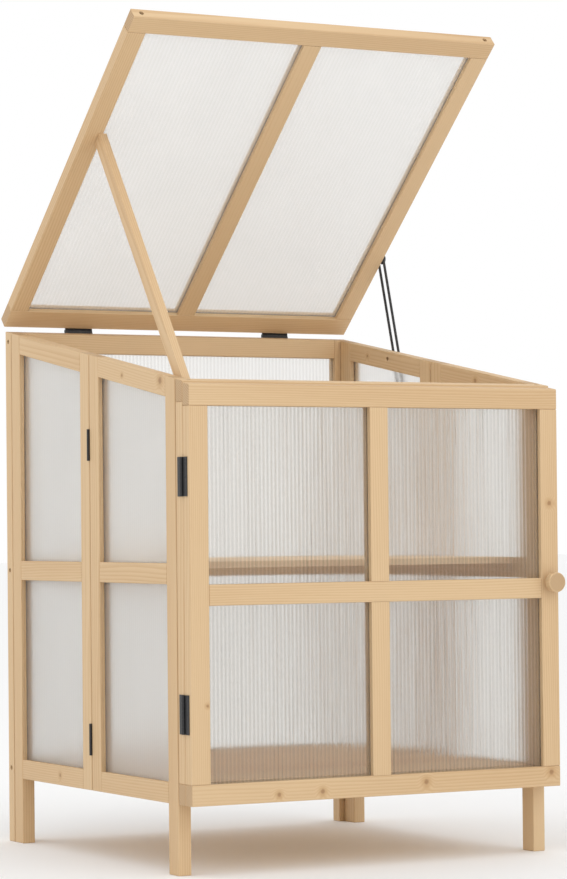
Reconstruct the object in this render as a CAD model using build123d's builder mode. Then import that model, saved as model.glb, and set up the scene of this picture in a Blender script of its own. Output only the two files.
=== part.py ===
"""Cold frame: a glazed timber box on short legs with an overlay door and a sloping lid.

Axes: +X to the right, +Y to the back, +Z up. The door faces -Y. All sizes in millimetres.
The lid is shown propped open and the door shut.
"""
import os
from math import atan, cos, degrees, radians, sin

from build123d import *

os.makedirs("parts", exist_ok=True)

# timber
WIDTH = 580.0  # over the door, the front frame and the back panel
BAR = 28.0  # face width of a frame member
THICK = 19.0  # thickness of a frame member
HALF = WIDTH / 2
INSIDE = HALF - THICK

# places along the depth
DOOR_FRONT = -284.0
FRAME_FRONT = DOOR_FRONT + THICK
FRAME_BACK = FRAME_FRONT + THICK
WALL_PANEL = 262.0  # depth of each of the two panels of a side wall
WALL_MIDDLE = FRAME_BACK + WALL_PANEL
BACK_FRONT = WALL_MIDDLE + WALL_PANEL
BACK_REAR = BACK_FRONT + THICK
FOLD_GAP = 1.0  # half of the gap that holds two hinge leaves

# heights
SILL = 94.0  # underside of the panels, top of the free part of the legs
FRONT_TOP = 656.0  # top of the side walls where they meet the front frame
SLOPE = 0.173  # rise of the roof line over its depth
DOOR_RAIL = 356.0  # underside of the door's middle rail
WALL_RAIL = 384.0  # underside of the middle rails of walls and back
DOOR_DROP = 2.4  # the door's top edge lies this far under the roof line

# glazing
SHEET = 4.0  # twin wall sheet
GROOVE = 5.0  # how far a sheet enters the timber
PLAY = 0.2  # clearance round a sheet in its groove

# screws
HEAD = 3.2  # radius
SUNK = 3.5  # depth of the head under the surface

# lid
PITCH_OPEN = 42.1  # lid above the horizontal as propped
PITCH_SHUT = -degrees(atan(SLOPE))
LID_WIDTH = 582.0
LID_LENGTH = 588.0
LID_THICK = 17.0
LID_REAR_BAR = 33.0
LEAF = 2.0  # lid and roof line stand this far from the hinge axis, measured across the slope
PIN_BACK = 3.5  # hinge axis behind the back panel
PIN_TO_LID = 4.0  # hinge axis to the lid's rear edge

# prop
PROP_Y = FRAME_BACK + 16.0
PROP_Z = 640.0
PROP_WIDTH = 18.0
PROP_THICK = 12.0
PROP_ANGLE = 55.3
PROP_X = -INSIDE + 0.5


def roof(y, drop=0.0):
    """Height of the roof line at a depth."""
    return FRONT_TOP + (y - FRAME_BACK) * SLOPE - drop


PIN_Y = BACK_REAR + PIN_BACK
PIN_Z = roof(PIN_Y) + LEAF / cos(radians(PITCH_SHUT))
lid_up = (0, sin(radians(PITCH_OPEN)), cos(radians(PITCH_OPEN)))
lid_plane = Plane(origin=(0, PIN_Y, PIN_Z), x_dir=(1, 0, 0), z_dir=lid_up)


def save(piece, name):
    """Name a sub-part and write it."""
    piece.label = name
    export_step(piece, "parts/" + name + ".step")


def group(solids, name):
    """Several like pieces written as one sub-part."""
    save(Compound(children=list(solids)), name)


def prism(outline, left, right, cuts=()):
    """A piece with a side outline in Y and Z, from one X to another."""
    with BuildPart() as piece:
        with BuildSketch(Plane.YZ.offset(left)):
            Polygon(*outline, align=None)
        extrude(amount=right - left)
        for cut in cuts:
            add(cut, mode=Mode.SUBTRACT)
    return piece.part


def block(x, y, z, cuts=()):
    """A straight piece between pairs of X, Y and Z."""
    outline = [(y[0], z[0]), (y[1], z[0]), (y[1], z[1]), (y[0], z[1])]
    return prism(outline, x[0], x[1], cuts)


def raked(x, y, low, drop=0.0, cuts=()):
    """A piece whose top follows the roof line."""
    outline = [(y[0], low), (y[1], low), (y[1], roof(y[1], drop)), (y[0], roof(y[0], drop))]
    return prism(outline, x[0], x[1], cuts)


def rod(start, direction, radius, length):
    """A round bar from a point."""
    with BuildPart() as piece:
        with BuildSketch(Plane(origin=start, z_dir=direction)):
            Circle(radius)
        extrude(amount=length)
    return piece.part


def screw(start, direction):
    """A countersunk screw seated under the surface; direction points out of the timber."""
    inward = tuple(-value for value in direction)
    with BuildPart() as piece:
        with BuildSketch(Plane(origin=start, z_dir=inward).offset(SUNK)):
            Circle(HEAD)
        extrude(amount=2.0)
        with BuildSketch(Plane(origin=start, z_dir=inward).offset(SUNK + 2.0)):
            Circle(1.6)
        extrude(amount=16.0)
    return piece.part


def screw_hole(start, direction):
    """The hole that such a screw sits in."""
    inward = tuple(-value for value in direction)
    with BuildPart() as piece:
        with BuildSketch(Plane(origin=start, z_dir=inward).offset(-1.0)):
            Circle(HEAD + 0.2)
        extrude(amount=SUNK + 3.0)
        with BuildSketch(Plane(origin=start, z_dir=inward).offset(SUNK + 2.0)):
            Circle(1.6)
        extrude(amount=16.0)
    return piece.part


# ---------------------------------------------------------------- screws of the carcase
edge_y = BACK_FRONT + THICK / 2
rail_heights = (SILL + BAR / 2, WALL_RAIL + BAR / 2, roof(edge_y) - BAR / 2)
front_y = FRAME_FRONT + THICK / 2
frame_screw_places = []
for side in (-1, 1):
    for height in rail_heights:
        frame_screw_places.append(((side * HALF, edge_y, height), (side, 0, 0)))
    frame_screw_places.append(((side * (HALF - BAR / 2), front_y, roof(front_y)), (0, 0, 1)))
    frame_screw_places.append(((side * (HALF - BAR / 2), front_y, SILL), (0, 0, -1)))
frame_screws = [screw(*place) for place in frame_screw_places]
frame_holes = [screw_hole(*place) for place in frame_screw_places]
group(frame_screws, "frame_screws")

# ---------------------------------------------------------------- back panel with its two legs
sheet_y = (BACK_FRONT + (THICK - SHEET) / 2, BACK_FRONT + (THICK + SHEET) / 2)
groove_y = (sheet_y[0] - PLAY, sheet_y[1] + PLAY)
back_in = HALF - BAR
back_low = (SILL + BAR - GROOVE, WALL_RAIL + GROOVE)
back_high = (WALL_RAIL + BAR - GROOVE, roof(BACK_FRONT) - BAR + GROOVE)
back_sheets = []
back_grooves = []
for span in (back_low, back_high):
    reach = back_in + GROOVE
    back_sheets.append(block((-reach, reach), sheet_y, span))
    far = reach + PLAY
    back_grooves.append(block((-far, far), groove_y, (span[0] - PLAY, span[1] + PLAY)))
group(back_sheets, "back_panes")
back_cuts = back_grooves + frame_holes
depth = (BACK_FRONT, BACK_REAR)
save(raked((-HALF, -back_in), depth, 0.0, 0.0, back_cuts), "back_left_stile")
save(raked((back_in, HALF), depth, 0.0, 0.0, back_cuts), "back_right_stile")
save(raked((-back_in, back_in), depth, roof(BACK_FRONT) - BAR, 0.0, back_cuts), "back_top_rail")
middle = (WALL_RAIL, WALL_RAIL + BAR)
save(block((-back_in, back_in), depth, middle, back_cuts), "back_middle_rail")
save(block((-back_in, back_in), depth, (SILL, SILL + BAR), back_cuts), "back_bottom_rail")

# ---------------------------------------------------------------- folding side walls
front_span = (FRAME_BACK + 2 * FOLD_GAP, WALL_MIDDLE - FOLD_GAP)
rear_span = (WALL_MIDDLE + FOLD_GAP, BACK_FRONT - 2 * FOLD_GAP)


def wall_sheet(x, span, z_low, z_high, grow):
    """A sheet in a wall panel; z_high of None follows the roof line."""
    y = (span[0] + BAR - GROOVE - grow, span[1] - BAR + GROOVE + grow)
    if z_high is None:
        return raked((x[0] - grow, x[1] + grow), y, z_low - grow, BAR - GROOVE - grow)
    return block((x[0] - grow, x[1] + grow), y, (z_low - grow, z_high + grow))


spare_hole = rod((INSIDE - 1.0, 136.0, 711.0), (1, 0, 0), 3.2, 11.0)
for side, name in ((-1, "left"), (1, "right")):
    wall_x = sorted((side * HALF, side * INSIDE))
    centre = side * (HALF - THICK / 2)
    sheet_x = (centre - SHEET / 2, centre + SHEET / 2)
    wall_sheets = []
    for span, part_name in ((front_span, "front"), (rear_span, "rear")):
        low = (SILL + BAR - GROOVE, WALL_RAIL + GROOVE)
        cuts = [
            wall_sheet(sheet_x, span, low[0], low[1], PLAY),
            wall_sheet(sheet_x, span, WALL_RAIL + BAR - GROOVE, None, PLAY),
        ]
        wall_sheets.append(wall_sheet(sheet_x, span, low[0], low[1], 0.0))
        wall_sheets.append(wall_sheet(sheet_x, span, WALL_RAIL + BAR - GROOVE, None, 0.0))
        outer = name + "_" + part_name
        between = (span[0] + BAR, span[1] - BAR)
        leg_first = part_name == "front"
        first = (span[0], span[0] + BAR)
        last = (span[1] - BAR, span[1])
        leg, inner = (first, last) if leg_first else (last, first)
        save(raked(wall_x, leg, 0.0, 0.0, cuts), outer + "_leg_stile")
        save(raked(wall_x, inner, SILL, 0.0, cuts), outer + "_middle_stile")
        top = [
            (between[0], roof(between[0], BAR)),
            (between[1], roof(between[1], BAR)),
            (between[1], roof(between[1])),
            (between[0], roof(between[0])),
        ]
        top_cuts = cuts + [spare_hole] if outer == "right_rear" else cuts
        save(prism(top, wall_x[0], wall_x[1], top_cuts), outer + "_top_rail")
        save(block(wall_x, between, middle, cuts), outer + "_middle_rail")
        save(block(wall_x, between, (SILL, SILL + BAR), cuts), outer + "_bottom_rail")
    group(wall_sheets, name + "_wall_panes")

# ---------------------------------------------------------------- hinges that fold the walls
LEAF_DEEP = 15.0
FOLD_HINGE = 44.0
FOLD_PIN = 1.8
fold_hinges = []


def fold_hinge(side, pin_x, pin_y, leaf_y, low):
    """A hinge folded in a gap: two leaves and a knuckle on one side of the wall."""
    leaf_x = sorted((pin_x, pin_x + side * LEAF_DEEP))
    with BuildPart() as piece:
        with BuildSketch(Plane.XY.offset(low)):
            with Locations((sum(leaf_x) / 2, leaf_y)):
                Rectangle(leaf_x[1] - leaf_x[0], 2 * FOLD_GAP)
            with Locations((pin_x, pin_y)):
                Circle(FOLD_PIN)
        extrude(amount=FOLD_HINGE)
    return piece.part


for side in (-1, 1):
    inner_x = side * (INSIDE - FOLD_PIN)
    outer_x = side * (HALF + FOLD_PIN)
    for low in (143.0, 553.0):
        pin_y = FRAME_BACK + FOLD_PIN
        fold_hinges.append(fold_hinge(side, inner_x, pin_y, FRAME_BACK + FOLD_GAP, low))
        fold_hinges.append(fold_hinge(-side, outer_x, WALL_MIDDLE, WALL_MIDDLE, low))
    for low in (143.0, 626.0):
        pin_y = BACK_FRONT - FOLD_PIN
        fold_hinges.append(fold_hinge(side, inner_x, pin_y, BACK_FRONT - FOLD_GAP, low))
group(fold_hinges, "fold_hinges")

# ---------------------------------------------------------------- front frame round the doorway
frame_y = (FRAME_FRONT, FRAME_BACK)
doorway = HALF - BAR
save(raked((-HALF, HALF), frame_y, roof(FRAME_FRONT) - BAR, 0.0, frame_holes), "front_frame_top_rail")
save(block((-HALF, HALF), frame_y, (SILL, SILL + BAR), frame_holes), "front_frame_bottom_rail")
upright = (SILL + BAR, roof(FRAME_FRONT) - BAR)
save(block((-HALF, -doorway), frame_y, upright, frame_holes), "front_frame_left_stile")
save(block((doorway, HALF), frame_y, upright, frame_holes), "front_frame_right_stile")

# ---------------------------------------------------------------- boards inside and their battens
BOARD = 9.0
BATTEN = 12.0
SHELF_TOP = 413.0
FLOOR_TOP = 122.0
board_x = (-INSIDE + 1.0, INSIDE - 1.0)
shelf_y = (FRAME_BACK + 46.0, BACK_FRONT - BAR)
floor_y = (FRAME_BACK + 8.0, BACK_FRONT - 8.0)
save(block(board_x, shelf_y, (SHELF_TOP - BOARD, SHELF_TOP)), "shelf_board")
save(block(board_x, floor_y, (FLOOR_TOP - BOARD, FLOOR_TOP)), "floor_board")
battens = []
for side in (-1, 1):
    batten_x = sorted((side * INSIDE, side * (INSIDE - BATTEN)))
    for top in (SHELF_TOP - BOARD, FLOOR_TOP - BOARD):
        for span in ((shelf_y[0], WALL_MIDDLE - 2.0), (WALL_MIDDLE + 2.0, shelf_y[1])):
            battens.append(block(batten_x, span, (top - BATTEN, top)))
group(battens, "battens")

# ---------------------------------------------------------------- door
door_y = (DOOR_FRONT, FRAME_FRONT - 0.4)
door_top = roof(DOOR_FRONT, DOOR_DROP)
sheet_y = (DOOR_FRONT + (THICK - SHEET) / 2, DOOR_FRONT + (THICK + SHEET) / 2)
groove_y = (sheet_y[0] - PLAY, sheet_y[1] + PLAY)
door_in = HALF - BAR
door_sheets = []
door_grooves = []
for span in ((SILL + BAR, DOOR_RAIL), (DOOR_RAIL + BAR, door_top - BAR)):
    for side in (-1, 1):
        x = sorted((side * (BAR / 2 - GROOVE), side * (door_in + GROOVE)))
        z = (span[0] - GROOVE, span[1] + GROOVE)
        door_sheets.append(block(x, sheet_y, z))
        x = (x[0] - PLAY, x[1] + PLAY)
        door_grooves.append(block(x, groove_y, (z[0] - PLAY, z[1] + PLAY)))
group(door_sheets, "door_panes")
save(raked((-HALF, HALF), door_y, door_top - BAR, DOOR_DROP, door_grooves), "door_top_rail")
save(block((-HALF, HALF), door_y, (SILL, SILL + BAR), door_grooves), "door_bottom_rail")
upright = (SILL + BAR, door_top - BAR)
save(block((-HALF, -door_in), door_y, upright, door_grooves), "door_left_stile")
save(block((door_in, HALF), door_y, upright, door_grooves), "door_right_stile")
across = (DOOR_RAIL, DOOR_RAIL + BAR)
save(block((-door_in, door_in), door_y, across, door_grooves), "door_middle_rail")
bars = []
for span in ((SILL + BAR, DOOR_RAIL), (DOOR_RAIL + BAR, door_top - BAR)):
    bars.append(block((-BAR / 2, BAR / 2), door_y, span, door_grooves))
group(bars, "door_glazing_bars")

# door knob, turned from one piece of wood
KNOB_X = HALF - BAR / 2
KNOB_Z = 378.0
with BuildPart() as knob:
    with BuildSketch(Plane(origin=(KNOB_X, DOOR_FRONT, KNOB_Z), z_dir=(0, -1, 0))):
        Circle(7.5)
    extrude(amount=9.0)
    with BuildSketch(Plane(origin=(KNOB_X, DOOR_FRONT - 9.0, KNOB_Z), z_dir=(0, -1, 0))):
        Circle(13.8)
    extrude(amount=10.0)
    fillet(knob.edges().filter_by(GeomType.CIRCLE).sort_by(Axis.Y)[0:1], 2.5)
save(knob.part, "door_knob")

# door hinges: leaves on the left edges, knuckles on the seam
DOOR_HINGE = 52.0
DOOR_PIN = 2.5
PIN_X = -HALF - DOOR_PIN
SEAM = FRAME_FRONT - 0.2
KNUCKLES = 5
frame_leaves = []
door_leaves = []
for low in (187.5, 500.0):
    pitch = DOOR_HINGE / KNUCKLES
    for leaf_y, first, made in ((SEAM + 0.2, 0, frame_leaves), (SEAM - 0.2 - 13.0, 1, door_leaves)):
        with BuildPart() as leaf:
            with BuildSketch(Plane.XY.offset(low)):
                with Locations((-HALF - 0.6, leaf_y + 6.5)):
                    Rectangle(1.2, 13.0)
            extrude(amount=DOOR_HINGE)
            for step in range(KNUCKLES):
                mine = step % 2 == first
                height = low + step * pitch
                with BuildSketch(Plane.XY.offset(height + 0.2 * mine)):
                    with Locations((PIN_X, SEAM)):
                        Circle(DOOR_PIN if mine else DOOR_PIN + 0.3)
                extrude(amount=pitch - 0.4 * mine, mode=Mode.ADD if mine else Mode.SUBTRACT)
            with BuildSketch(Plane.XY.offset(low)):
                with Locations((PIN_X, SEAM)):
                    Circle(1.3)
            extrude(amount=DOOR_HINGE, mode=Mode.SUBTRACT)
        made.append(leaf.part)
    frame_leaves.append(rod((PIN_X, SEAM, low), (0, 0, 1), 1.1, DOOR_HINGE))
group(frame_leaves, "door_hinge_frame_leaves")
group(door_leaves, "door_hinge_door_leaves")

# ---------------------------------------------------------------- lid, drawn in its own plane
lid_half = LID_WIDTH / 2
lid_rear = -PIN_TO_LID
lid_front = lid_rear - LID_LENGTH
lid_screw_places = []
for side in (-1, 1):
    start = lid_plane.from_local_coords((side * (lid_half - BAR / 2), lid_front, LEAF + LID_THICK / 2))
    outward = lid_plane.y_dir * -1
    lid_screw_places.append((tuple(start), tuple(outward)))
lid_screws = [screw(*place) for place in lid_screw_places]
lid_holes = [screw_hole(*place) for place in lid_screw_places]


def slat(x, y, low=LEAF, high=LEAF + LID_THICK, cuts=()):
    """A straight piece of the lid between pairs of local X and Y."""
    with BuildPart() as piece:
        with BuildSketch(lid_plane.offset(low)):
            with Locations(((x[0] + x[1]) / 2, (y[0] + y[1]) / 2)):
                Rectangle(x[1] - x[0], y[1] - y[0])
        extrude(amount=high - low)
        for cut in cuts:
            add(cut, mode=Mode.SUBTRACT)
    return piece.part


pane_low = LEAF + (LID_THICK - SHEET) / 2
glass_y = (lid_front + BAR, lid_rear - LID_REAR_BAR)
lid_sheets = []
lid_cuts = list(lid_holes)
for side in (-1, 1):
    x = sorted((side * (BAR / 2 - GROOVE), side * (lid_half - BAR + GROOVE)))
    y = (glass_y[0] - GROOVE, glass_y[1] + GROOVE)
    lid_sheets.append(slat(x, y, pane_low, pane_low + SHEET))
    x = (x[0] - PLAY, x[1] + PLAY)
    y = (y[0] - PLAY, y[1] + PLAY)
    lid_cuts.append(slat(x, y, pane_low - PLAY, pane_low + SHEET + PLAY))
group(lid_sheets, "lid_panes")
save(slat((-lid_half, lid_half), (lid_front, glass_y[0]), cuts=lid_cuts), "lid_front_rail")
save(slat((-lid_half, lid_half), (glass_y[1], lid_rear), cuts=lid_cuts), "lid_rear_rail")
save(slat((-lid_half, -lid_half + BAR), glass_y, cuts=lid_cuts), "lid_left_stile")
save(slat((lid_half - BAR, lid_half), glass_y, cuts=lid_cuts), "lid_right_stile")
save(slat((-BAR / 2, BAR / 2), glass_y, cuts=lid_cuts), "lid_centre_bar")

# lid hinges: one leaf on the lid's rear edge, one on the back panel's rear face
LID_HINGE = 44.0
LID_PIN = 3.0
LID_LEAF = 1.4
LID_LEAF_DEEP = 16.5
upper_leaves = []
lower_leaves = []
edge_plane = Plane(origin=lid_plane.origin, x_dir=lid_plane.z_dir, z_dir=(1, 0, 0))
face_plane = Plane(origin=lid_plane.origin, x_dir=(0, 0, -1), z_dir=(1, 0, 0))
for centre in (-169.0, 167.0):
    left = centre - LID_HINGE / 2
    pitch = LID_HINGE / KNUCKLES
    for plane, start, off, first, made in (
        (edge_plane, 0.2, PIN_TO_LID - LID_LEAF / 2, 1, upper_leaves),
        (face_plane, 0.9, LID_LEAF / 2 - PIN_BACK, 0, lower_leaves),
    ):
        with BuildPart() as leaf:
            with BuildSketch(plane.offset(left)):
                with Locations((start + LID_LEAF_DEEP / 2, off)):
                    Rectangle(LID_LEAF_DEEP, LID_LEAF)
            extrude(amount=LID_HINGE)
            for step in range(KNUCKLES):
                mine = step % 2 == first
                with BuildSketch(plane.offset(left + step * pitch + 0.2 * mine)):
                    Circle(LID_PIN if mine else LID_PIN + 0.4)
                extrude(amount=pitch - 0.4 * mine, mode=Mode.ADD if mine else Mode.SUBTRACT)
            with BuildSketch(plane.offset(left)):
                Circle(1.5)
            extrude(amount=LID_HINGE, mode=Mode.SUBTRACT)
        made.append(leaf.part)
    lower_leaves.append(rod((left, PIN_Y, PIN_Z), (1, 0, 0), 1.3, LID_HINGE))
group(upper_leaves, "lid_hinge_lid_leaves")
group(lower_leaves, "lid_hinge_back_leaves")

# ---------------------------------------------------------------- prop and its foot peg
along = Vector(0, cos(radians(PROP_ANGLE)), sin(radians(PROP_ANGLE)))
foot = Vector(PROP_X, PROP_Y, PROP_Z)
prop_plane = Plane(origin=foot, x_dir=along, z_dir=(1, 0, 0))
lid_under = lid_plane.offset(LEAF - 0.3)
with BuildPart() as prop:
    with BuildSketch(prop_plane):
        Circle(PROP_WIDTH / 2)
        with Locations((250.0, 0)):
            Rectangle(500.0, PROP_WIDTH)
        Circle(3.3, mode=Mode.SUBTRACT)
    extrude(amount=PROP_THICK)
    split(bisect_by=lid_under, keep=Keep.BOTTOM)
save(prop.part, "prop_stick")
with BuildPart() as peg:
    with BuildSketch(Plane(origin=(PROP_X - 0.2, PROP_Y, PROP_Z), z_dir=(1, 0, 0))):
        Circle(3.0)
    extrude(amount=PROP_THICK + 0.5)
    with BuildSketch(Plane(origin=(PROP_X + PROP_THICK + 0.3, PROP_Y, PROP_Z), z_dir=(1, 0, 0))):
        Circle(6.0)
    extrude(amount=2.2)
save(peg.part, "prop_foot_peg")

# ---------------------------------------------------------------- elastic cord round its two pegs
CORD = 4.0
CORD_X = HALF + 3.5
PEG = 4.7
BEND = PEG + CORD / 2 + 0.3
ENDS_APART = 40.0  # turn left out of the upper loop, in degrees
upper = lid_plane.from_local_coords((0, lid_rear - 155.0, LEAF + LID_THICK / 2))
lower = Vector(0, 54.0, WALL_RAIL + BAR / 2)


def cord_peg(y, z, base_x):
    """A round peg standing out of a side face, with a wider head that keeps the cord on."""
    with BuildPart() as piece:
        with BuildSketch(Plane(origin=(base_x, y, z), z_dir=(1, 0, 0))):
            Circle(PEG)
        extrude(amount=CORD_X + CORD / 2 + 0.3 - base_x)
        with BuildSketch(Plane(origin=(CORD_X + CORD / 2 + 0.3, y, z), z_dir=(1, 0, 0))):
            Circle(PEG + 3.0)
        extrude(amount=1.8)
    return piece.part


lid_screws.append(cord_peg(upper.Y, upper.Z, lid_half))
group(lid_screws, "lid_screws")
save(cord_peg(lower.Y, lower.Z, HALF), "cord_wall_peg")

run = Vector(0, upper.Y - lower.Y, upper.Z - lower.Z)
reach = run.length
cord_plane = Plane(origin=(CORD_X, lower.Y, lower.Z), x_dir=run, z_dir=(1, 0, 0))
with BuildLine(cord_plane) as cord_path:
    over = CenterArc((reach, 0), BEND, ENDS_APART, 90 - ENDS_APART)
    Line((reach, BEND), (0, BEND))
    CenterArc((0, 0), BEND, 90, 180)
    Line((0, -BEND), (reach, -BEND))
    CenterArc((reach, 0), BEND, -90, 90)
path = cord_path.wires()[0]
with BuildPart() as cord:
    with BuildSketch(Plane(origin=path @ 0, z_dir=path % 0)):
        Circle(CORD / 2)
    sweep(path=path)
save(cord.part, "elastic_cord")
section = 3.14159 * CORD**2 / 4
print("cord length", round(path.length, 1), "bends", BEND)
print("cord volume", round(cord.part.volume), "section by length", round(section * path.length))
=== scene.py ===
"""A timber cold frame: glazed folding walls on legs, an overlay door and a lid held open by a stick."""
from math import atan2, cos, pi, radians, sin

import bmesh
import bpy
from mathutils import Matrix, Vector


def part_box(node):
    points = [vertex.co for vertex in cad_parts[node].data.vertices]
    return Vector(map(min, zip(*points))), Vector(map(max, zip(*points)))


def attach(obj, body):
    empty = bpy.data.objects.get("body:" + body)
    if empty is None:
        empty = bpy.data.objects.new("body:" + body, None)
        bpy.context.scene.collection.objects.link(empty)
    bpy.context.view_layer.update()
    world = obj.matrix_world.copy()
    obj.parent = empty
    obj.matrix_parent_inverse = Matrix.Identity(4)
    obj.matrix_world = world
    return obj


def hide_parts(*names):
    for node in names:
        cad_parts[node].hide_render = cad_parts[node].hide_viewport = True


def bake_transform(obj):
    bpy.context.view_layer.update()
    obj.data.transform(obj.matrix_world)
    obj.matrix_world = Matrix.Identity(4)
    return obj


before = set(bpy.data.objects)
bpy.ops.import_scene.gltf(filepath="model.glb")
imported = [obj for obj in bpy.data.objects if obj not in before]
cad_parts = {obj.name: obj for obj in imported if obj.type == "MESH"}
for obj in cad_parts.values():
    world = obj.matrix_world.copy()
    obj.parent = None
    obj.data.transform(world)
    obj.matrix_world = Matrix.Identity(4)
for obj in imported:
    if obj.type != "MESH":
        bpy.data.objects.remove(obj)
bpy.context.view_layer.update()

# ---------------------------------------------------------------- camera
# A long lens at the height of the middle rail, to the left of the door.
# It sees the door and the left wall, and looks up under the open lid.
lens = bpy.data.cameras.new("camera")
lens.lens = 125.4
lens.shift_x = 0.0822
lens.shift_y = 0.0416
camera = bpy.data.objects.new("camera", lens)
bpy.context.scene.collection.objects.link(camera)
turn = Matrix.Rotation(radians(-28.08), 4, "Z")
tip = Matrix.Rotation(radians(90.87), 4, "X")
roll = Matrix.Rotation(radians(-0.53), 4, "Z")
camera.matrix_world = Matrix.Translation((-2.1489, -3.8290, 0.46535)) @ turn @ tip @ roll
bpy.context.scene.camera = camera
bpy.context.scene.view_settings.view_transform = "Standard"


# ---------------------------------------------------------------- elastic cord
# Black braided elastic, 4 mm thick, led as a loop round a peg in the lid's edge
# and a peg in the wall's middle rail; its ends meet in a knot at the lid.
class Value:
    """One number or colour on its way through a finish."""

    def __init__(self, paint, socket):
        self.paint = paint
        self.socket = socket

    def __add__(self, other):
        return self.paint.sum("ADD", self, other)

    def __radd__(self, other):
        return self.paint.sum("ADD", other, self)

    def __sub__(self, other):
        return self.paint.sum("SUBTRACT", self, other)

    def __rsub__(self, other):
        return self.paint.sum("SUBTRACT", other, self)

    def __mul__(self, other):
        return self.paint.sum("MULTIPLY", self, other)

    def __rmul__(self, other):
        return self.paint.sum("MULTIPLY", other, self)

    def __truediv__(self, other):
        return self.paint.sum("DIVIDE", self, other)

    def __pow__(self, other):
        return self.paint.sum("POWER", self, other)


class Paint:
    """A material and the few ways in which its patterns are made."""

    def __init__(self, name, **settings):
        self.material = bpy.data.materials.new(name)
        self.material.use_nodes = True
        self.tree = self.material.node_tree
        self.shader = self.tree.nodes["Principled BSDF"]
        for key, value in settings.items():
            self.shader.inputs[key.replace("_", " ")].default_value = value

    def node(self, kind, settings, inputs, out=0):
        """A node with its settings, then its sockets; gives one of its outputs."""
        made = self.tree.nodes.new(kind)
        for key, value in settings.items():
            setattr(made, key, value)
        for key, value in inputs.items():
            if isinstance(value, Value):
                self.tree.links.new(value.socket, made.inputs[key])
            else:
                made.inputs[key].default_value = value
        return Value(self, made.outputs[out])

    def sum(self, operation, first, second=0.0):
        return self.node("ShaderNodeMath", {"operation": operation}, {0: first, 1: second})

    def step(self, value, low, high):
        """0 under low, 1 over high and smooth between them."""
        settings = {"interpolation_type": "SMOOTHSTEP"}
        return self.node("ShaderNodeMapRange", settings, {0: value, 1: low, 2: high})

    def blend(self, first, second, share):
        """One colour turning into another."""
        return self.node("ShaderNodeMix", {"data_type": "RGBA"}, {0: share, 6: first, 7: second}, 2)

    def noise(self, place, scale, detail=2.0, rough=0.5):
        inputs = {"Vector": place, "Scale": scale, "Detail": detail, "Roughness": rough}
        return self.node("ShaderNodeTexNoise", {}, inputs)

    def place(self, origin=(0, 0, 0), angles=(0, 0, 0), stretch=(1, 1, 1)):
        """Object coordinates about an origin, turned and stretched."""
        spot = self.node("ShaderNodeTexCoord", {}, {}, "Object")
        spot = self.node("ShaderNodeVectorMath", {"operation": "SUBTRACT"}, {0: spot, 1: origin})
        spot = self.node("ShaderNodeMapping", {}, {"Vector": spot, "Rotation": angles})
        return self.node("ShaderNodeVectorMath", {"operation": "MULTIPLY"}, {0: spot, 1: stretch})

    def parts(self, vector):
        """The three numbers of a vector."""
        apart = self.node("ShaderNodeSeparateXYZ", {}, {0: vector})
        return [Value(self, socket) for socket in apart.socket.node.outputs]

    def send(self, **sockets):
        """Patterns to the shader's sockets; a height becomes a bump."""
        for key, value in sockets.items():
            if key == "bump":
                height, strength, depth = value
                inputs = {"Height": height, "Strength": strength, "Distance": depth}
                value = self.node("ShaderNodeBump", {}, inputs)
                key = "Normal"
            self.tree.links.new(value.socket, self.shader.inputs[key.replace("_", " ")])
        return self.material


def finish(obj, *materials):
    """A piece takes its materials."""
    obj.data.materials.clear()
    for material in materials:
        obj.data.materials.append(material)


def piece(name, mesh, *materials):
    """A bmesh becomes a piece of the object."""
    data = bpy.data.meshes.new(name)
    mesh.to_mesh(data)
    mesh.free()
    made = bpy.data.objects.new(name, data)
    bpy.context.scene.collection.objects.link(made)
    finish(made, *materials)
    return made


def braid():
    """Woven sheath: two sets of fine ribs that cross, on the tube's own map."""
    paint = Paint("braided elastic", Roughness=0.72, Sheen_Weight=0.25)
    along, around = paint.parts(paint.node("ShaderNodeUVMap", {"uv_map": "length"}, {}))[:2]
    first = paint.sum("SINE", (along * 900.0 + around * 6.0) * 6.2832)
    second = paint.sum("SINE", (along * 900.0 - around * 6.0) * 6.2832)
    weave = first * second * 0.5 + 0.5
    dust = paint.noise(paint.place(), 90.0)
    colour = paint.blend((0.012, 0.012, 0.013, 1), (0.05, 0.05, 0.052, 1), weave * 0.6 + dust * 0.3)
    return paint.send(Base_Color=colour, bump=(weave, 0.5, 0.0003))


CORD = 0.004
ELASTIC = braid()
wall_low, wall_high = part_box("cord_wall_peg")
cord_low, cord_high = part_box("elastic_cord")
cord_x = (cord_low.x + cord_high.x) / 2
lower_peg = (wall_low + wall_high) / 2
lid_low, lid_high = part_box("lid_screws")
HEAD = (wall_high.y - wall_low.y) / 2
upper_peg = Vector((lower_peg.x, lid_high.y - HEAD, lid_low.z + HEAD))
run = Vector((0, upper_peg.y - lower_peg.y, upper_peg.z - lower_peg.z))
reach = run.length
run.normalize()
across = Vector((0, -run.z, run.y))
route = [
    (reach + 0.0054, 0.0045),
    (reach + 0.0040, 0.0072),
    (reach - 0.018, 0.0070),
    (0.018, 0.0070),
    (-0.0075, 0.0072),
    (-0.0075, -0.0072),
    (0.018, -0.0070),
    (reach - 0.018, -0.0070),
    (reach + 0.0072, -0.0072),
    (reach + 0.0070, 0.0),
]


def cord_point(u, v):
    spot = Vector((0, lower_peg.y, lower_peg.z)) + run * u + across * v
    spot.x = cord_x
    return spot


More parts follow.
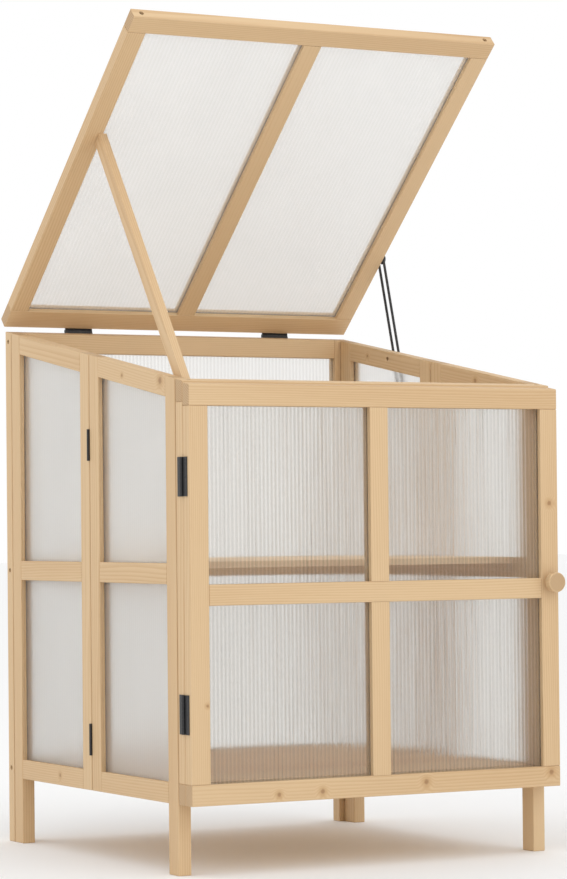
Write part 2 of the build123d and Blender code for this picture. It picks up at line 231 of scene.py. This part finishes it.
line = bpy.data.curves.new("cord_line", "CURVE")
line.dimensions = "3D"
line.resolution_u = 24
spline = line.splines.new("NURBS")
spline.points.add(len(route) - 1)
for point, (u, v) in zip(spline.points, route):
    point.co = (*cord_point(u, v), 1)
spline.order_u = 3
spline.use_endpoint_u = True
line_object = bpy.data.objects.new("cord_line", line)
bpy.context.scene.collection.objects.link(line_object)
bpy.context.view_layer.update()
line_mesh = bpy.data.meshes.new_from_object(line_object)
path = [vertex.co.copy() for vertex in line_mesh.vertices]
bpy.data.objects.remove(line_object)

tube = bmesh.new()
sleeve = tube.loops.layers.uv.new("length")
ring = None
walked = 0.0
SIDES = 12
for count, spot in enumerate(path):
    ahead = path[min(count + 1, len(path) - 1)] - path[max(count - 1, 0)]
    ahead.normalize()
    side = Vector((1, 0, 0))
    up = ahead.cross(side)
    corners = []
    for step in range(SIDES):
        angle = 2 * pi * step / SIDES
        corners.append(tube.verts.new(spot + (side * cos(angle) + up * sin(angle)) * CORD / 2))
    before = walked
    if ring:
        walked += (spot - path[count - 1]).length
        for step in range(SIDES):
            following = (step + 1) % SIDES
            face = tube.faces.new((ring[step], ring[following], corners[following], corners[step]))
            face.smooth = True
            marks = ((before, step), (before, step + 1), (walked, step + 1), (walked, step))
            for loop, (length, turned) in zip(face.loops, marks):
                loop[sleeve].uv = (length, turned / SIDES)
    ring = corners
bmesh.ops.holes_fill(tube, edges=tube.edges, sides=SIDES)
bmesh.ops.recalc_face_normals(tube, faces=tube.faces)
cord = piece("elastic_cord_loop", tube, ELASTIC)
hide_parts("elastic_cord")

# the knot where the two ends meet: a small tight lump of the same elastic
lump = bmesh.new()
bmesh.ops.create_uvsphere(lump, u_segments=20, v_segments=12, radius=0.0034)
bmesh.ops.scale(lump, vec=(0.78, 1.0, 1.35), verts=lump.verts)
for vertex in lump.verts:
    vertex.co *= 1 + 0.12 * sin(atan2(vertex.co.y, vertex.co.x) * 2 + vertex.co.z * 1800)
bmesh.ops.translate(lump, vec=cord_point(reach + 0.0066, 0.0024), verts=lump.verts)
for face in lump.faces:
    face.smooth = True
lump.loops.layers.uv.new("length")
knot = piece("elastic_cord_knot", lump, ELASTIC)
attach(knot, "lid")
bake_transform(cord)

# ---------------------------------------------------------------- planed fir
# Every bar is planed softwood with its grain along the bar. The growth rings
# are cylinders round a heart beside the bar, so its ends show them as arcs.
PALE = (0.690, 0.490, 0.280, 1)
LATE = (0.50, 0.285, 0.120, 1)
KNOT = (0.30, 0.15, 0.06, 1)
ROOF_PITCH = radians(9.8)
LID_OPEN = radians(42.1)
PROP_LEAN = radians(55.3)
ALONG = {
    "x": (0, -pi / 2, 0),
    "y": (pi / 2, 0, 0),
    "z": (0, 0, 0),
    "roof": (pi / 2 - ROOF_PITCH, 0, 0),
    "lid": (pi / 2 + LID_OPEN, 0, 0),
    "prop": (pi / 2 - PROP_LEAN, 0, 0),
}


def fir(node, along, knots=(), pale=PALE, deep=LATE):
    """The finish of one bar; knots are places on its surface with a radius."""
    low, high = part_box(node)
    middle = (low + high) / 2
    seed = sum(ord(letter) * (place + 3) for place, letter in enumerate(node))
    paint = Paint("fir " + node, Roughness=0.55)
    raw = paint.place(middle)
    spot = paint.place(middle, ALONG[along])
    shift = (seed % 7, seed % 5, seed % 11)
    shifted = paint.node("ShaderNodeVectorMath", {"operation": "ADD"}, {0: spot, 1: shift})
    across, depth, length = paint.parts(spot)
    grain = paint.node("ShaderNodeVectorMath", {"operation": "MULTIPLY"}, {0: shifted, 1: (16, 16, 1.6)})
    drift = paint.noise(grain, 1.0, 2.0) - 0.5
    heart_x = 0.030 + 0.004 * (seed % 9)
    heart_y = 0.016 + 0.005 * (seed % 6)
    spread = (across + heart_x) ** 2.0 + (depth + heart_y) ** 2.0
    radius = spread ** 0.5 + drift * 0.018
    dark = None
    ring_glow = None
    for knot_place, knot_radius in knots:
        centre = Vector(knot_place) - middle
        away = paint.node("ShaderNodeVectorMath", {"operation": "SUBTRACT"}, {0: raw, 1: centre})
        gap = paint.node("ShaderNodeVectorMath", {"operation": "LENGTH"}, {0: away}, 1)
        gap = gap + (paint.noise(shifted, 260.0) - 0.5) * 0.0022
        halo = 1.0 - paint.step(gap, knot_radius * 0.4, knot_radius * 3.2)
        radius = radius + halo * 0.006
        core = 1.0 - paint.step(gap, knot_radius * 0.35, knot_radius * 0.95)
        glow = 1.0 - paint.step(gap, knot_radius * 0.7, knot_radius * 2.4)
        dark = core if dark is None else paint.sum("MAXIMUM", dark, core)
        ring_glow = glow if ring_glow is None else paint.sum("MAXIMUM", ring_glow, glow)
    rings = paint.sum("FRACT", radius * (260.0 + seed % 90))
    late = paint.step(rings, 0.25, 0.86) * (1.0 - paint.step(rings, 0.9, 0.99))
    fibres = paint.node("ShaderNodeVectorMath", {"operation": "MULTIPLY"}, {0: shifted, 1: (900, 900, 18)})
    fibre = paint.noise(fibres, 1.0, 3.0, 0.6)
    cloud = paint.noise(grain, 0.6, 1.0)
    colour = paint.blend(pale, deep, late * 0.30 + (fibre - 0.5) * 0.40 + (cloud - 0.5) * 1.15 + 0.04)
    if dark is not None:
        colour = paint.blend(colour, LATE, ring_glow * 0.5)
        colour = paint.blend(colour, KNOT, dark * 0.7)
    facing = paint.node("ShaderNodeTexCoord", {}, {}, "Normal")
    facing = paint.node("ShaderNodeMapping", {}, {"Vector": facing, "Rotation": ALONG[along]})
    end = paint.step(paint.sum("ABSOLUTE", paint.parts(facing)[2]), 0.80, 0.95)
    colour = paint.blend(colour, (0.33, 0.19, 0.09, 1), end * (late * 0.35 + 0.32))
    relief = late * 0.35 + fibre * 0.65
    return paint.send(Base_Color=colour, Roughness=0.5 + fibre * 0.16, bump=(relief, 0.30, 0.0004))


def eased(node, material, body, rounding=0.0011):
    """The bar again, with its long edges lightly sanded round."""
    solid = bmesh.new()
    solid.from_mesh(bpy.data.objects[node].data)
    bmesh.ops.remove_doubles(solid, verts=solid.verts, dist=0.00001)
    bmesh.ops.dissolve_limit(solid, angle_limit=radians(1), verts=solid.verts, edges=solid.edges)
    sharp = [edge for edge in solid.edges if edge.calc_face_angle(0) > 0.9]
    bmesh.ops.bevel(
        solid,
        geom=[edge for edge in sharp if edge.calc_length() > 0.012],
        offset=rounding,
        affect="EDGES",
        segments=2,
        profile=0.5,
        material=-1,
        clamp_overlap=True,
    )
    made = piece(node + "_timber", solid, material)
    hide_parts(node)
    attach(made, body)
    return made


# ---------------------------------------------------------------- back panel
# Two long fir stiles that run down as the rear legs, with three rails between them.
# The rails butt against the stiles and are held by screws through the stiles' edges.
eased("back_left_stile", fir("back_left_stile", "z"), "frame")
eased("back_right_stile", fir("back_right_stile", "z"), "frame")
for part in ("top", "middle", "bottom"):
    node = "back_" + part + "_rail"
    eased(node, fir(node, "x"), "frame")

# ---------------------------------------------------------------- side walls
# Each wall is two small fir frames that fold on each other; the outer stiles are legs.
# The corners are butted, and the top rails follow the slope of the roof.
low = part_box("left_front_top_rail")[0]
front_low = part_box("right_front_top_rail")[0]
rear_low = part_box("right_rear_top_rail")[0]
wall_knots = {
    "left_front_top_rail": [
        ((low.x, low.y + 0.014, low.z + 0.022), 0.0065),
        ((low.x, low.y + 0.128, low.z + 0.034), 0.003),
    ],
    "right_front_top_rail": [((front_low.x, front_low.y + 0.110, front_low.z + 0.034), 0.004)],
    "right_rear_top_rail": [((rear_low.x, rear_low.y + 0.150, rear_low.z + 0.040), 0.003)],
    "left_rear_bottom_rail": [((low.x, 0.120, 0.108), 0.004)],
}
for side in ("left", "right"):
    for half in ("front", "rear"):
        for part in ("leg_stile", "middle_stile"):
            node = side + "_" + half + "_" + part
            eased(node, fir(node, "z"), "frame")
        for part, along in (("top", "roof"), ("middle", "y"), ("bottom", "y")):
            node = side + "_" + half + "_" + part + "_rail"
            eased(node, fir(node, along, wall_knots.get(node, ())), "frame")

# ---------------------------------------------------------------- front frame
# A plain fir frame round the doorway, behind the door.
# Its rails run the full width, and its stiles stand between them.
for part in ("left", "right"):
    node = "front_frame_" + part + "_stile"
    eased(node, fir(node, "z"), "frame")
for part in ("top", "bottom"):
    node = "front_frame_" + part + "_rail"
    eased(node, fir(node, "x"), "frame")

# ---------------------------------------------------------------- shelf, floor and their battens
# Thin boards that lie loose on fir battens; their paler colour is painted light for the dim inside.
# The battens are fixed to the inside of the side walls.
# painted light: both board colours are fir made lighter, to stand in for the light that reaches the inside
BOARD_PALE_PAINTED_LIGHT = (0.95, 0.72, 0.46, 1)
BOARD_LATE_PAINTED_LIGHT = (0.80, 0.52, 0.30, 1)
for node in ("shelf_board", "floor_board"):
    eased(node, fir(node, "x", (), BOARD_PALE_PAINTED_LIGHT, BOARD_LATE_PAINTED_LIGHT), "frame", 0.0006)
battens = bpy.data.objects["battens"]
finish(battens, fir("battens", "y"))

# ---------------------------------------------------------------- door
# Four fir bars round the edge, a rail across the middle and a glazing bar in each half.
# It hangs on two hinges at its left edge and has a turned knob on the right.
left_low, left_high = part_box("door_left_stile")
right_low, right_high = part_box("door_right_stile")
stile_knots = {
    "left": [((left_high.x - 0.004, left_low.y, left_low.z + 0.103), 0.0028)],
    "right": [((right_low.x + 0.014, right_low.y, right_high.z - 0.131), 0.0045)],
}
for part in ("left", "right"):
    node = "door_" + part + "_stile"
    eased(node, fir(node, "z", stile_knots[part]), "door")
for part in ("top", "middle"):
    node = "door_" + part + "_rail"
    eased(node, fir(node, "x"), "door")
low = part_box("door_bottom_rail")[0]
door_knots = [
    ((low.x + 0.130, low.y, low.z + 0.010), 0.004),
    ((low.x + 0.197, low.y, low.z + 0.011), 0.0045),
    ((low.x + 0.360, low.y, low.z + 0.016), 0.005),
    ((low.x + 0.565, low.y, low.z + 0.020), 0.005),
]
eased("door_bottom_rail", fir("door_bottom_rail", "x", door_knots), "door")
bars = bpy.data.objects["door_glazing_bars"]
finish(bars, fir("door_glazing_bars", "z"))
finish(bpy.data.objects["door_knob"], fir("door_knob", "y"))

# ---------------------------------------------------------------- lid
# A flat frame of thinner fir bars with one bar down its middle.
# It stands open here, so the grain of its stiles runs along its slope.
for part in ("left_stile", "right_stile", "centre_bar"):
    node = "lid_" + part
    eased(node, fir(node, "lid"), "lid")
for part in ("front", "rear"):
    node = "lid_" + part + "_rail"
    eased(node, fir(node, "x"), "lid")

# ---------------------------------------------------------------- prop
# A square fir stick whose top is cut to the slope of the lid.
# It turns on a plated screw through its foot.
eased("prop_stick", fir("prop_stick", "prop"), "prop")


# ---------------------------------------------------------------- glazing
# Milky twin wall sheet, 4 mm thick, that slides into grooves in the bars.
# A rib every 6 mm along its channels shows as a stripe and smears what lies behind.
RIB_PITCH = 0.006


def sheet(name, along, ribs, clear, haze, painted_shade=0.0):
    """Ribs run along the axis given; they show as stripes and smear what is behind."""
    paint = Paint("sheet " + name, IOR=1.2, Transmission_Weight=clear)
    across, depth = paint.parts(paint.place())[:2]
    position = depth if along == "y" else across
    wave = paint.sum("COSINE", position * (2 * pi / RIB_PITCH)) * 0.5 + 0.5
    rib = wave ** 3.0
    cloud = paint.noise(paint.place(stretch=(1, 1, 0.25)), 14.0)
    streak = paint.noise(paint.place(stretch=(160, 160, 1.2)), 1.0, 1.0)
    fine = paint.noise(paint.place(stretch=(2600, 2600, 2)), 1.0, 1.0)
    # painted_shade is painted shade: it pushes this copy of the sheet's colour toward the grey stripe
    # colour
    share = rib * (ribs * 0.8) + (cloud - 0.5) * 0.15 + (streak - 0.5) * 0.07 + painted_shade
    colour = paint.blend((0.955, 0.95, 0.935, 1), (0.66, 0.64, 0.61, 1), share)
    relief = wave * 0.5 + fine
    return paint.send(Base_Color=colour, Roughness=haze + cloud * 0.04, bump=(relief, ribs, 0.0005))


# The last number is painted shade: it greys the door's and the left wall's copies of the same milky sheet
finish(bpy.data.objects["door_panes"], sheet("door", "x", 0.75, 0.95, 0.05, 0.08))
finish(bpy.data.objects["back_panes"], sheet("back", "x", 0.5, 0.90, 0.14))
finish(bpy.data.objects["lid_panes"], sheet("lid", "x", 0.22, 0.72, 0.05))
finish(bpy.data.objects["left_wall_panes"], sheet("left", "y", 0.22, 0.88, 0.36, 0.14))
finish(bpy.data.objects["right_wall_panes"], sheet("right", "y", 0.22, 0.92, 0.36, 0.0))


# ---------------------------------------------------------------- hinges and screws
# Black stamped steel hinges, black screws and pegs, and a plated screw in the stick's foot.
# The domed screw heads on the door hinges are made here and ride with their leaves.
def black_steel():
    paint = Paint("black steel", Roughness=0.42, Metallic=0.0)
    cloud = paint.noise(paint.place(), 240.0, 3.0)
    worn = paint.step(paint.noise(paint.place(), 70.0, 4.0, 0.7), 0.62, 0.75)
    colour = paint.blend((0.012, 0.012, 0.013, 1), (0.03, 0.03, 0.032, 1), cloud)
    colour = paint.blend(colour, (0.10, 0.095, 0.09, 1), worn * 0.5)
    return paint.send(Base_Color=colour, Roughness=0.36 + cloud * 0.2, bump=(cloud, 0.2, 0.0002))


BLACK = black_steel()
hinge_nodes = ["fold_hinges", "door_hinge_frame_leaves", "door_hinge_door_leaves"]
hinge_nodes += ["lid_hinge_back_leaves", "lid_hinge_lid_leaves"]
screw_nodes = ["cord_wall_peg", "frame_screws", "lid_screws"]
for node in hinge_nodes + screw_nodes:
    finish(bpy.data.objects[node], BLACK)


def plated_steel():
    paint = Paint("plated steel", Roughness=0.35, Metallic=1.0)
    cloud = paint.noise(paint.place(), 400.0, 3.0)
    colour = paint.blend((0.30, 0.27, 0.22, 1), (0.46, 0.43, 0.38, 1), cloud)
    return paint.send(Base_Color=colour, Roughness=0.28 + cloud * 0.25)


PLATED = plated_steel()


def screw_heads(name, places, outward, body):
    """Small domed heads that stand on a hinge leaf."""
    heads = bmesh.new()
    outward = Vector(outward)
    frame_turn = outward.to_track_quat("Z", "Y").to_matrix().to_4x4()
    for place in places:
        head = bmesh.new()
        bmesh.ops.create_uvsphere(head, u_segments=24, v_segments=12, radius=0.0021)
        bmesh.ops.bisect_plane(
            head,
            geom=head.verts[:] + head.edges[:] + head.faces[:],
            plane_co=(0, 0, 0.0006),
            plane_no=(0, 0, -1),
            clear_outer=True,
        )
        bmesh.ops.holes_fill(head, edges=head.edges, sides=24)
        bmesh.ops.translate(head, vec=(0, 0, -0.0008), verts=head.verts)
        bmesh.ops.scale(head, vec=(1, 1, 0.42), verts=head.verts)
        bmesh.ops.transform(head, matrix=Matrix.Translation(place) @ frame_turn, verts=head.verts)
        data = bpy.data.meshes.new("head")
        head.to_mesh(data)
        head.free()
        heads.from_mesh(data)
        bpy.data.meshes.remove(data)
    for face in heads.faces:
        face.smooth = True
    made = piece(name, heads, BLACK)
    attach(made, body)
    return made


# three screws in every leaf of the door hinges
leaf_low, leaf_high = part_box("door_hinge_frame_leaves")
wall_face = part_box("front_frame_left_stile")[0].x - 0.0012
hinge_z = [leaf_low.z + 0.026, leaf_high.z - 0.026]
for name, body, shift in (("frame", "frame", 0.0080), ("door", "door", -0.0080)):
    middle_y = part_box("front_frame_left_stile")[0].y - 0.0002 + shift
    spots = [(wall_face, middle_y, z + step) for z in hinge_z for step in (-0.018, 0, 0.018)]
    screw_heads("door_hinge_screws_" + name, spots, (-1, 0, 0), body)
finish(bpy.data.objects["prop_foot_peg"], PLATED)

# ---------------------------------------------------------------- studio
# A plain pale floor, a bright surround and two broad soft lights,
# so that the milky sheets glow and the shadows stay faint.
floor = bmesh.new()
bmesh.ops.create_grid(floor, x_segments=1, y_segments=1, size=30)
ground = Paint("floor", Base_Color=(0.93, 0.93, 0.93, 1), Roughness=0.9)
stage = piece("ground", floor, ground.material)

world = bpy.data.worlds.new("studio")
bpy.context.scene.world = world
world.use_nodes = True
world.node_tree.nodes["Background"].inputs["Color"].default_value = (1, 1, 1, 1)
world.node_tree.nodes["Background"].inputs["Strength"].default_value = 1.0


def softbox(name, place, aim, size, power):
    """A square area light that faces a point."""
    lamp = bpy.data.lights.new(name, "AREA")
    lamp.size = size
    lamp.energy = power
    made = bpy.data.objects.new(name, lamp)
    bpy.context.scene.collection.objects.link(made)
    facing = (Vector(aim) - Vector(place)).to_track_quat("-Z", "Y")
    made.matrix_world = Matrix.Translation(place) @ facing.to_matrix().to_4x4()


softbox("key", (0.6, -3.2, 2.6), (0, 0, 0.5), 2.2, 14)
softbox("top", (-1.0, -0.9, 2.8), (0.15, 0.1, 0.5), 1.4, 6)
